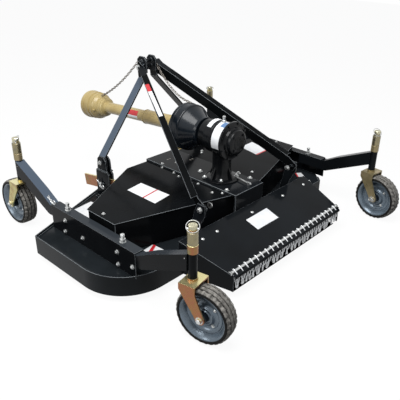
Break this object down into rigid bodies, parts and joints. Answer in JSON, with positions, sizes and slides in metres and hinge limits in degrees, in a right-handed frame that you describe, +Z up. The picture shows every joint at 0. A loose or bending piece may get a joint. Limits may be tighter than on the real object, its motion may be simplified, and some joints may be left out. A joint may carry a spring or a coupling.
{
  "type": "finishing mower",
  "caption": "Three-point finishing mower: low deck on swivelling caster wheels, A-frame hitch, gearbox with guarded driveline, spinning blades and a rear chain curtain.",
  "frame": {"origin": "on the ground under the middle of the overall length and width", "axes": "+X the mower's right, +Y forwards to the tractor, +Z up"},
  "size_m": [1.804, 1.9066, 0.878],
  "materials": {
    "black_paint": "gloss powder coat",
    "tyre_rubber": "matt, dusty",
    "grey_rim_paint": "semi-gloss",
    "yellow_zinc": "yellow passivated zinc plate",
    "bright_zinc": "bright zinc plate",
    "tan_guard": "moulded",
    "black_plastic": "moulded",
    "gearbox_paint": "gloss paint on cast iron",
    "raw_steel": "bare steel"
  },
  "bodies": {
    "deck": {"deck_shell": "black_paint", "rear_hood": "black_paint", "chain_rail": "bright_zinc", "gearbox_stand": "black_paint", "gearbox_housing": "gearbox_paint", "input_guard": "black_plastic", "mast_head": "black_paint", "driveline_guard_rear": "tan_guard", "driveline_guard_front": "tan_guard", "side_rail_left": "black_paint", "belt_cover_left": "black_paint", "hitch_bracket_left": "black_paint", "hitch_lug_left": "yellow_zinc", "mast_leg_left": "black_paint", "mast_brace_left": "black_paint", "brace_foot_left": "black_paint", "side_rail_right": "black_paint", "belt_cover_right": "black_paint", "hitch_bracket_right": "black_paint", "hitch_lug_right": "yellow_zinc", "mast_leg_right": "black_paint", "mast_brace_right": "black_paint", "brace_foot_right": "black_paint", "caster_arm_front_left": "black_paint", "caster_arm_front_right": "black_paint", "caster_arm_rear_left": "black_paint", "caster_arm_rear_right": "black_paint", "spindle_housing_left": "black_paint", "spindle_housing_centre": "black_paint", "spindle_housing_right": "black_paint"},
    "caster_front_left": {"caster_fork_front_left": "yellow_zinc", "caster_spacers_front_left": "yellow_zinc"},
    "wheel_front_left": {"tyre_front_left": "tyre_rubber", "rim_front_left": "grey_rim_paint"},
    "caster_front_right": {"caster_fork_front_right": "yellow_zinc", "caster_spacers_front_right": "yellow_zinc"},
    "wheel_front_right": {"tyre_front_right": "tyre_rubber", "rim_front_right": "grey_rim_paint"},
    "caster_rear_left": {"caster_fork_rear_left": "yellow_zinc", "caster_spacers_rear_left": "yellow_zinc"},
    "wheel_rear_left": {"tyre_rear_left": "tyre_rubber", "rim_rear_left": "grey_rim_paint"},
    "caster_rear_right": {"caster_fork_rear_right": "yellow_zinc", "caster_spacers_rear_right": "yellow_zinc"},
    "wheel_rear_right": {"tyre_rear_right": "tyre_rubber", "rim_rear_right": "grey_rim_paint"},
    "cutter_left": {"blade_left": "raw_steel"},
    "cutter_centre": {"blade_centre": "raw_steel"},
    "cutter_right": {"blade_right": "raw_steel"},
    "driveline": {"driveline_shaft": "raw_steel"}
  },
  "joints": [
    {"name": "swivel_front_left", "type": "hinge", "parent": "deck", "child": "caster_front_left", "pos_m": [-0.752, 0.55279, 0.34], "axis": [0, 0, 1], "continuous": true},
    {"name": "roll_front_left", "type": "hinge", "parent": "caster_front_left", "child": "wheel_front_left", "pos_m": [-0.752, 0.61879, 0.13], "axis": [-1, 0, 0], "continuous": true},
    {"name": "swivel_front_right", "type": "hinge", "parent": "deck", "child": "caster_front_right", "pos_m": [0.752, 0.55279, 0.34], "axis": [0, 0, 1], "continuous": true},
    {"name": "roll_front_right", "type": "hinge", "parent": "caster_front_right", "child": "wheel_front_right", "pos_m": [0.752, 0.61879, 0.13], "axis": [-1, 0, 0], "continuous": true},
    {"name": "swivel_rear_left", "type": "hinge", "parent": "deck", "child": "caster_rear_left", "pos_m": [-0.752, -0.75521, 0.34], "axis": [0, 0, 1], "continuous": true},
    {"name": "roll_rear_left", "type": "hinge", "parent": "caster_rear_left", "child": "wheel_rear_left", "pos_m": [-0.73941, -0.82, 0.13], "axis": [0.9816, 0.1908, 0], "continuous": true},
    {"name": "swivel_rear_right", "type": "hinge", "parent": "deck", "child": "caster_rear_right", "pos_m": [0.752, -0.75521, 0.34], "axis": [0, 0, 1], "continuous": true},
    {"name": "roll_rear_right", "type": "hinge", "parent": "caster_rear_right", "child": "wheel_rear_right", "pos_m": [0.74567, -0.82091, 0.13], "axis": [0.9954, -0.0958, 0], "continuous": true},
    {"name": "cutter_spin_left", "type": "hinge", "parent": "deck", "child": "cutter_left", "pos_m": [-0.565, -0.14121, 0.09], "axis": [0, 0, 1], "continuous": true},
    {"name": "cutter_spin_centre", "type": "hinge", "parent": "deck", "child": "cutter_centre", "pos_m": [0, 0.03879, 0.09], "axis": [0, 0, 1], "continuous": true},
    {"name": "cutter_spin_right", "type": "hinge", "parent": "deck", "child": "cutter_right", "pos_m": [0.565, -0.14121, 0.09], "axis": [0, 0, 1], "continuous": true},
    {"name": "driveline_spin", "type": "hinge", "parent": "deck", "child": "driveline", "pos_m": [0, 0.01179, 0.538], "axis": [0, 0.9974, -0.0727], "continuous": true}
  ],
  "couplings": [
    {"joint": "cutter_spin_left", "follows": "driveline_spin", "ratio": 5},
    {"joint": "cutter_spin_centre", "follows": "driveline_spin", "ratio": 5},
    {"joint": "cutter_spin_right", "follows": "driveline_spin", "ratio": 5}
  ]
}
